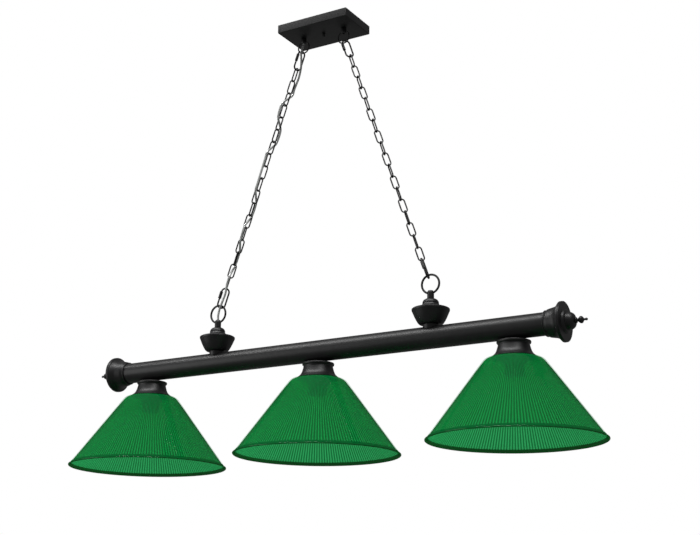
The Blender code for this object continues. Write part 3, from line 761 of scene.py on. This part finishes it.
def make_hanger(side):
    place = HANGERS[side]
    hole = STEM_HOLE
    cup = [(hole, 0.0718), (0.0166, 0.0718), (0.0172, 0.0712, 0.0004), (0.0182, 0.0684, 0.0015)]
    cup += [(0.0216, 0.0648, 0.0025), (0.0366, 0.0614, 0.0020), (0.0397, 0.0598, 0.0012)]
    cup += [(0.0395, 0.0562, 0.0016)]
    cup += [(0.0386, 0.0545, 0.0016), (0.0330, 0.0410, 0.0080), (0.0276, 0.0312, 0.0040)]
    cup += [(0.0240, 0.0274, 0.0020)]
    cup += [(0.0168, 0.0266, 0.0016), (0.0166, 0.0100), (0.0151, 0.0100), (0.0151, 0.0284)]
    cup += [(0.0256, 0.0320)]
    cup += [(0.0372, 0.0576), (0.0208, 0.0630), (0.0160, 0.0700), (hole, 0.0700)]
    body = new_object(f"hanger_body_{side}", lathe(cup), place)
    saddle = 0.0236
    reach = 0.0600
    bore = along_x(lathe([(0, -reach), (saddle, -reach), (saddle, reach), (0, reach)], 160), 1)
    combine(body, bore, "DIFFERENCE", place)
    place_piece(body, "bar", "black_metal", f"hanger_cup_{side}")
    dome = [(hole, 0.0721), (0.0168, 0.0721), (0.0173, 0.0726, 0.0004), (0.0168, 0.0752, 0.0016)]
    dome += [(0.0145, 0.0792, 0.0024), (0.0086, 0.0822, 0.0010), (hole, 0.0822)]
    cap = new_object(f"hanger_dome_{side}", lathe(dome, 72), place)
    place_piece(cap, "bar", "black_metal", f"hanger_cap_{side}")
    ring = HANGER_RING_HEIGHT
    foot = 0.0825 - ring
    top = 0.0997 - ring
    low = 0.0140 - ring
    stem = [(WIRE_WAY, low), (THREAD_RADIUS - 0.0006, low)]
    stem += drilled(THREAD_RADIUS, 0, low + 0.0006, foot - 0.0004, THREAD_PITCH / 4)
    stem += [(THREAD_RADIUS, foot), (0.0066, foot), (0.0072, foot + 0.0006, 0.0004)]
    stem += [(0.0072, top - 0.0030, 0.0020)]
    stem += [(0.0052, top, 0.0010), (WIRE_WAY, top)]
    helix = thread(0.0005, THREAD_PITCH, low + 0.0006, foot - 0.0004, THREAD_RADIUS)
    centre = place + Vector((0, 0, ring))
    name, node = f"hanger_ring_{side}", f"hanger_loop_{side}"
    ring_piece(name, centre, HANGER_RING_RADIUS, HANGER_WIRE, stem, helix, "bar", node)


def make_end(side):
    """A bell over the tube's end, a stepped plate and the finial whose thread holds both."""
    sign = SIDES[side]
    place = END_FACES[side]
    rim = 0.0404
    bore = 0.0237
    bell = [(bore, -0.0400), (0.0246, -0.0400, 0.0003), (0.0263, -0.0393, 0.0006)]
    bell += [(0.0263, -0.0377, 0.0006)]
    bell += [(0.0252, -0.0368, 0.0004), (0.0282, -0.0320, 0.0025), (0.0296, -0.0240, 0.0040)]
    bell += [(0.0314, -0.0155, 0.0040), (0.0360, -0.0090, 0.0040), (rim - 0.0006, -0.0068, 0.0006)]
    bell += [(rim, -0.0060, 0.0004), (rim, -0.0028), (0.0385, -0.0028), (0.0305, -0.0130)]
    bell += [(0.0280, -0.0255)]
    bell += [(bore, -0.0330)]
    body = new_object(f"end_cup_{side}", along_x(lathe(bell), sign), place)
    place_piece(body, "bar", "black_metal", f"end_bell_{side}")
    bore = 0.0027
    plate = [(bore, -0.0025), (rim - 0.0006, -0.0025), (rim, -0.0019, 0.0004)]
    plate += [(rim - 0.0002, -0.0004, 0.0006)]
    plate += [(rim - 0.0014, 0, 0.0006), (0.0244, 0, 0.0008), (0.0236, 0.0022, 0.0012)]
    plate += [(0.0222, 0.0044, 0.0010)]
    plate += [(0.0200, 0.0052, 0.0006), (0.0180, 0.0054, 0.0006), (0.0176, 0.0085, 0.0015)]
    plate += [(0.0168, 0.0132, 0.0030)]
    plate += [(0.0138, 0.0178, 0.0030), (0.0085, 0.0203, 0.0020), (bore, 0.0206), (bore, 0.0180)]
    plate += [(0.0100, 0.0165), (0.0155, 0.0110), (0.0150, 0.0000), (bore, 0.0000)]
    disc = new_object(f"end_disc_{side}", along_x(lathe(plate), sign), place)
    place_piece(disc, "bar", "black_metal", f"end_plate_{side}")
    shank = 0.0024
    knob = [(0, -0.0100), (shank - 0.0005, -0.0100)]
    knob += drilled(shank, 0, -0.0094, 0.0200, 0.0002)
    knob += [(shank, 0.0209), (0.0055, 0.0209), (0.0060, 0.0214, 0.0003), (0.0058, 0.0230, 0.0006)]
    knob += [(0.0032, 0.0242, 0.0008), (0.0031, 0.0256, 0.0008), (0.0046, 0.0276, 0.0012)]
    knob += [(0.0070, 0.0302, 0.0016)]
    knob += [(0.0073, 0.0324, 0.0010), (0.0066, 0.0346, 0.0014), (0.0038, 0.0366, 0.0014)]
    knob += [(0.0019, 0.0386, 0.0008)]
    knob += [(0.0019, 0.0396, 0.0006), (0.0028, 0.0416, 0.0008), (0.0026, 0.0438, 0.0008)]
    knob += [(0.0012, 0.0452, 0.0006)]
    knob += [(0, 0.0454)]
    helix = thread(0.0003, 0.0008, -0.0094, 0.0196, shank)
    tip = new_object(f"end_knob_{side}", along_x(lathe(knob, 48, helix), sign), place)
    place_piece(tip, "bar", "black_metal", f"finial_{side}")


# Shade sets.


def make_holder(place):
    """A spun cup that flares out to grip the shade's shoulder."""
    hole = STEM_HOLE
    cup = [(hole, -0.0270), (0.0312, -0.0270, 0.0004), (0.0340, -0.0274, 0.0012), (0.0345, -0.0296, 0.0014)]
    cup += [(0.0340, -0.0318, 0.0010), (0.0318, -0.0330, 0.0008), (0.0316, -0.0352, 0.0014)]
    cup += [(0.0330, -0.0410, 0.0030)]
    cup += [(0.0352, -0.0480, 0.0030), (0.0382, -0.0534, 0.0030), (0.0440, -0.0584, 0.0020)]
    cup += [(0.0453, -0.0593, 0.0005)]
    cup += [(0.0450, -0.0599, 0.0003), (0.0440, -0.0600), (0.0362, -0.0534), (0.0304, -0.0356)]
    cup += [(0.0304, -0.0282)]
    cup += [(hole, -0.0282)]
    obj = new_object(f"holder_{place}", lathe(cup, 128), SETS[place])
    place_piece(obj, "bar", "black_metal", f"shade_holder_{place}")


def make_shade(place):
    """The moulded cone: smooth outside, ribbed inside between its shoulder and its rim bead."""
    rim = SHADE_RADIUS
    outer = [(SHADE_HOLE, SHADE_TOP), (0.0490, SHADE_TOP - 0.0004, 0.0060)]
    outer += [(0.0580, SHADE_TOP - 0.0034, 0.0050)]
    outer += [(0.0628, SHADE_TOP - 0.0078, 0.0030), (rim - 0.0056, SHADE_RIM + 0.0079)]
    outer += [(rim - 0.0030, SHADE_RIM + 0.0044, 0.0010)]
    outer += [(rim, SHADE_RIM + 0.0030, 0.0012), (rim, SHADE_RIM + 0.0012, 0.0010)]
    outer += [(rim - 0.0016, SHADE_RIM, 0.0010)]
    outer += [(rim - 0.0034, SHADE_RIM + 0.0006, 0.0008)]
    start = Vector((rim - 0.0046, SHADE_RIM + 0.0026))
    end = Vector((0.0600, SHADE_TOP - 0.0080))
    middle_rows = [0.045 + 0.885 * i / 12 for i in range(1, 13)]
    rows = [0.0, 0.014, 0.026, 0.034, 0.045] + middle_rows + [0.96, 0.98, 1.0]
    inner = [tuple(start.lerp(end, t)) for t in rows]
    inner += [(0.0565, SHADE_TOP - 0.0048), (0.0520, SHADE_TOP - SHADE_WALL)]
    inner += [(SHADE_HOLE, SHADE_TOP - SHADE_WALL)]
    slope = (end - start).normalized()
    length = (end - start).length

    def relief(r, z, turn):
        here = Vector((r, z)) - start
        along = here.dot(slope) / length
        off = abs(here.cross(slope))
        if off > 1e-5 or not 0.0 < along < 1.0:
            return r
        rise = min(1.0, (along - 0.020) / 0.014) if along < 0.5 else min(1.0, (1.0 - along) / 0.10)
        ridge = abs((SHADE_RIBS * turn / pi) % 2 - 1)
        return r + RIB_DEPTH * max(0.0, rise) * ridge

    shade = new_object(f"shade_cone_{place}", lathe(outer + inner, 6 * SHADE_RIBS, relief), SETS[place], 50)
    place_piece(shade, "bar", "green_acrylic", f"shade_{place}")
    shade.data.materials.append(SHADE_SKIN)
    shade.data.materials.append(SHADE_RIM_BEAD)
    for face in shade.data.polygons:
        outward = Vector((face.center.x, face.center.y, 0)).normalized()
        if face.center.z < SHADE_RIM + SHADE_BAND:
            face.material_index = 2
        elif face.normal.dot(outward + Vector((0, 0, 1))) > 0:
            face.material_index = 1


def make_socket(place):
    """A moulded socket on a hollow stem, with a rolled screw shell and a centre contact inside."""
    radius = 0.0200
    bottom = -0.0960
    shoulder = -0.0285
    stem = [(WIRE_WAY, -0.0140), (THREAD_RADIUS - 0.0006, -0.0140)]
    stem += drilled(THREAD_RADIUS, 0, -0.0146, shoulder + 0.0006, THREAD_PITCH / 4)
    stem += [(THREAD_RADIUS, shoulder), (0.0150, shoulder, 0.0010), (radius, -0.0340, 0.0020)]
    stem += [(radius, bottom + 0.0008), (radius - 0.0008, bottom), (0.0148, bottom)]
    stem += [(0.0142, bottom + 0.0008)]
    stem += [(0.0142, -0.0500), (WIRE_WAY, -0.0460)]
    helix = thread(0.0005, THREAD_PITCH, shoulder + 0.0006, -0.0146, THREAD_RADIUS)
    body = new_object(f"socket_body_{place}", lathe(stem, 80, helix), SETS[place])
    place_piece(body, "bar", "socket_plastic", f"socket_{place}")
    pitch = 0.00363
    wall = 0.0003
    outer = drilled(0.0139, 0, bottom + 0.0040, -0.0540, pitch / 8)
    inner = [(r - wall, z) for r, z in reversed(outer)]

    def rolled(r, z, turn):
        return r - 0.0004 * (1 + sin(2 * pi * z / pitch - turn))

    shell = new_object(f"screw_shell_{place}", lathe(outer + inner, 72, rolled), SETS[place], 60)
    place_piece(shell, "bar", "zinc_steel", f"socket_{place}")
    contact = [(0, -0.0505), (0.0040, -0.0505), (0.0040, -0.0520, 0.0008), (0.0022, -0.0545, 0.0010)]
    contact += [(0, -0.0550)]
    button = new_object(f"centre_contact_{place}", lathe(contact, 32), SETS[place])
    place_piece(button, "bar", "zinc_steel", f"socket_{place}")


def make_socket_ring(place):
    """The ring that clamps the shade, with grip notches round its flange."""
    top = SHADE_TOP - SHADE_WALL - GAP
    bore = 0.0206
    flange = 0.0295
    ring = [(bore, top), (flange - 0.0003, top), (flange, top - 0.0003), (flange, top - 0.0019)]
    ring += [(flange - 0.0008, top - 0.0026)]
    ring += [(0.0246, top - 0.0030, 0.0006), (0.0241, top - 0.0040, 0.0006), (0.0239, top - 0.0094, 0.0005)]
    ring += [(0.0233, top - 0.0100), (bore, top - 0.0100)]
    notches = 40

    def relief(r, z, turn):
        return r - 0.0007 * max(0.0, cos(notches * turn)) if r > flange - 0.0010 else r

    obj = new_object(f"grip_ring_{place}", lathe(ring, 6 * notches, relief), SETS[place])
    place_piece(obj, f"socket_ring_{place}", "socket_plastic", f"socket_ring_{place}")


# Supply cord. Its route repeats the frame's, in rows of distance down the chain, right and back. It
# crosses the chain at some links, to one side or the other, and stays on one side past CORD_STAYS.

CORD_START = ((0, 0, 0.0360), (0, 0, 0.0100), (-0.0003, -0.0042, -0.0010), (-0.0012, -0.0070, -0.0100))
CORD_TOP = ((0.0190, -0.0050, -0.0060), (0.0340, 0.0005, -0.0074), (0.0510, 0.0060, -0.0064))
CORD_TOP += ((0.0720, 0.0094, -0.0046),)
CORD_CROSSINGS = ((3, -1), (5, 1), (7, -1), (11, 1), (13, -1), (15, 1), (17, -1))
CORD_STAYS = (8, 9, 10)
CORD_ASIDE = 0.0111
CORD_REACH = 0.0145
CORD_END = ((0.0229, -0.0070, 0.0450), (0.0168, -0.0060, 0.0320), (0.0115, -0.0059, 0.0200))
CORD_END += ((0.0055, -0.0040, 0.0090), (0.0008, -0.0016, -0.0045), (0, 0, -0.0170), (0, 0, -0.0334))


def cord_route(line):
    centres = line.link_centres
    rows = list(CORD_TOP) + [(centres[1], CORD_ASIDE, 0)]
    for link, side in CORD_CROSSINGS:
        middle = centres[link - 1]
        if link == max(CORD_STAYS) + 1:
            rows += [(centres[k - 1], -CORD_ASIDE, 0) for k in CORD_STAYS]
        rows.append((middle - CORD_REACH, -side * CORD_ASIDE, 0))
        rows.append((middle, 0, 0))
        rows.append((middle + CORD_REACH, side * CORD_ASIDE, 0))
    rows.append((centres[-1] + 0.0020, -CORD_ASIDE - 0.0006, 0))
    points = [line.top + Vector(place) for place in CORD_START]
    for distance, right, back in rows:
        place = distance / line.length * LINKS_PER_CHAIN
        points.append(line.at(distance) + line.frame(place) @ Vector((right, back, 0)))
    return points + [line.bottom + Vector(place) for place in CORD_END]


def smooth_route(route, per_span):
    """Points of a Catmull-Rom curve through the route's own points."""
    ends = [2 * route[0] - route[1]] + route + [2 * route[-1] - route[-2]]
    points = []
    for a, b, c, d in zip(ends, ends[1:], ends[2:], ends[3:]):
        for i in range(per_span):
            t = i / per_span
            bend = (2 * a - 5 * b + 4 * c - d) * t**2 + (3 * b - a - 3 * c + d) * t**3
            points.append(b + ((c - a) * t + bend) / 2)
    return points + [route[-1]]


def make_cord(line):
    """The cord in three lengths, cut at the top quick link and half way down the chain."""
    points = smooth_route(cord_route(line), 8)
    whole = tube(points, CORD_RADIUS, 14)
    whole.verts.ensure_lookup_table()
    sides = len(whole.verts) // len(points)
    first_cut = next(i for i, p in enumerate(points) if p.z < line.top.z - 0.0330)
    second_cut = next(i for i, p in enumerate(points) if p.z < (line.top.z + line.bottom.z) / 2)
    swing = line.at(line.first + line.quick_reach)
    hanger = line.at(line.length - HANGER_RING_RADIUS)
    joints = {
        "upper": ("ceiling", "top_links", line.at(LOOP_RING_RADIUS), 0, first_cut),
        "middle": ("top_links", "left_chain", swing, first_cut, second_cut),
        "lower": ("left_chain", "bar", hanger, second_cut, len(points) - 1),
    }
    for name, (above, below, joint, start, end) in joints.items():
        part = whole.copy()
        part.verts.ensure_lookup_table()
        spare = [v for v in part.verts if not start * sides <= v.index < (end + 1) * sides]
        bmesh.ops.delete(part, geom=spare, context="VERTS")
        mesh = bpy.data.meshes.new(f"cord_{name}")
        part.to_mesh(mesh)
        part.free()
        mesh.shade_smooth()
        cord = bpy.data.objects.new(f"cord_{name}", mesh)
        bpy.context.scene.collection.objects.link(cord)
        mesh.materials.append(FINISHES["clear_cord"])
        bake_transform(cord)
        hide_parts("supply_cord")
    whole.free()


# Studio.


def area_light(name, place, target, size, power):
    lamp = bpy.data.lights.new(name, "AREA")
    lamp.shape = "RECTANGLE"
    lamp.size, lamp.size_y = size
    lamp.energy = power
    obj = bpy.data.objects.new(name, lamp)
    bpy.context.scene.collection.objects.link(obj)
    obj.location = place
    obj.rotation_euler = (Vector(target) - Vector(place)).to_track_quat("-Z", "Y").to_euler()
    obj.visible_camera = False
    return obj


def light_only(lamp, receivers):
    group = bpy.data.collections.new(f"{lamp.name}_receivers")
    for obj in receivers:
        group.objects.link(obj)
    lamp.light_linking.receiver_collection = group


def make_floor():
    """A pale floor, hidden from the rays that light other pieces and that are reflected in them."""
    bpy.ops.mesh.primitive_plane_add(size=FLOOR_SIZE, location=(0, 0, FLOOR_HEIGHT))
    floor = bpy.context.object
    floor.name = "floor"
    floor.data.materials.append(pale_floor())
    floor.visible_diffuse = False
    floor.visible_glossy = False
    return floor


def make_world():
    """A world that the camera sees as white, and that lights the lamp softly."""
    world = bpy.data.worlds.new("studio")
    bpy.context.scene.world = world
    world.use_nodes = True
    tree = world.node_tree
    add = tree.nodes.new
    path = add("ShaderNodeLightPath")
    ahead = add("ShaderNodeVectorMath")
    ahead.operation = "DOT_PRODUCT"
    ahead.inputs[1].default_value = view_axes()[2]
    tree.links.new(add("ShaderNodeTexCoord").outputs["Generated"], ahead.inputs[0])
    backdrop = add("ShaderNodeMapRange")
    backdrop.inputs["From Min"].default_value = cos(radians(BACKDROP_EDGE))
    backdrop.inputs["From Max"].default_value = cos(radians(BACKDROP_CORE))
    backdrop.inputs["To Min"].default_value = BACKDROP_DIM
    backdrop.inputs["To Max"].default_value = 1.0
    tree.links.new(ahead.outputs["Value"], backdrop.inputs["Value"])
    through = add("ShaderNodeMix")
    through.inputs["A"].default_value = ROOM_LIGHT
    tree.links.new(path.outputs["Is Transmission Ray"], through.inputs["Factor"])
    tree.links.new(backdrop.outputs["Result"], through.inputs["B"])
    seen = add("ShaderNodeMix")
    seen.inputs["B"].default_value = 1.0
    tree.links.new(path.outputs["Is Camera Ray"], seen.inputs["Factor"])
    tree.links.new(through.outputs["Result"], seen.inputs["A"])
    tree.links.new(seen.outputs["Result"], tree.nodes["Background"].inputs["Strength"])
    tree.nodes["Background"].inputs["Color"].default_value = (1.0, 1.0, 1.0, 1.0)


def make_lights(floor):
    shades = [bpy.data.objects[f"shade_cone_{place}"] for place in PLACES]
    metal = [obj for obj in bpy.data.objects if obj.type == "MESH" and obj not in [*shades, floor]]
    receivers = {"key": shades, "overhead": metal}
    for name, (offset, size, power) in LIGHTS.items():
        lamp = area_light(name, BAR + Vector(offset), BAR, size, power)
        if name in receivers:
            light_only(lamp, receivers[name])
    above = floor.location + Vector((0, 0, FLOOR_LIGHT_HEIGHT))
    floor_light = area_light("floor_light", above, floor.location, FLOOR_LIGHT_SIZE, FLOOR_LIGHT_POWER)
    light_only(floor_light, [floor])


def view_axes():
    """The camera's right, up and forward directions."""
    yaw, pitch, roll = (radians(angle) for angle in (CAMERA_YAW, CAMERA_PITCH, CAMERA_ROLL))
    ahead = Vector((-sin(yaw) * cos(pitch), cos(yaw) * cos(pitch), sin(pitch)))
    level = Vector((cos(yaw), sin(yaw), 0))
    above = level.cross(ahead)
    return cos(roll) * level + sin(roll) * above, cos(roll) * above - sin(roll) * level, ahead


def make_camera():
    right, up, ahead = view_axes()
    lens = bpy.data.cameras.new("camera")
    lens.sensor_width = SENSOR_WIDTH
    lens.lens = CAMERA_LENS
    camera = bpy.data.objects.new("camera", lens)
    bpy.context.scene.collection.objects.link(camera)
    turn = Matrix((right, up, -ahead)).transposed()
    camera.matrix_world = Matrix.Translation(BAR + CAMERA_OFFSET) @ turn.to_4x4()
    bpy.context.scene.camera = camera


def finish_kept_nodes():
    """The hidden fittings keep the frame's own shapes and take the real finishes."""
    kept = {"ceiling_strap": "zinc_steel", "bar_wiring": "clear_cord"}
    for side in SIDES:
        kept[f"canopy_nut_{side}"] = "zinc_steel"
        kept[f"hanger_nut_{side}"] = "zinc_steel"
    for place in PLACES:
        kept[f"socket_nut_{place}"] = "zinc_steel"
    for name, slot in kept.items():
        node = frame["nodes"][name]
        node.data.materials.clear()
        node.data.materials.append(FINISHES[slot])


def main():
    bpy.context.scene.view_settings.view_transform = "Standard"
    make_camera()
    lines = {side: ChainLine(side) for side in SIDES}
    make_cord(lines["left"])
    make_canopy()
    make_canopy_screw()
    for side, line in lines.items():
        make_canopy_loop(side)
        make_quick_link(line, "top", "top_links")
        make_links(line)
        make_quick_link(line, "bottom", f"{side}_chain")
        make_hanger(side)
        make_end(side)
    make_bar()
    for place in PLACES:
        make_holder(place)
        make_shade(place)
        make_socket(place)
        make_socket_ring(place)
    finish_kept_nodes()
    floor = make_floor()
    make_world()
    make_lights(floor)


main()
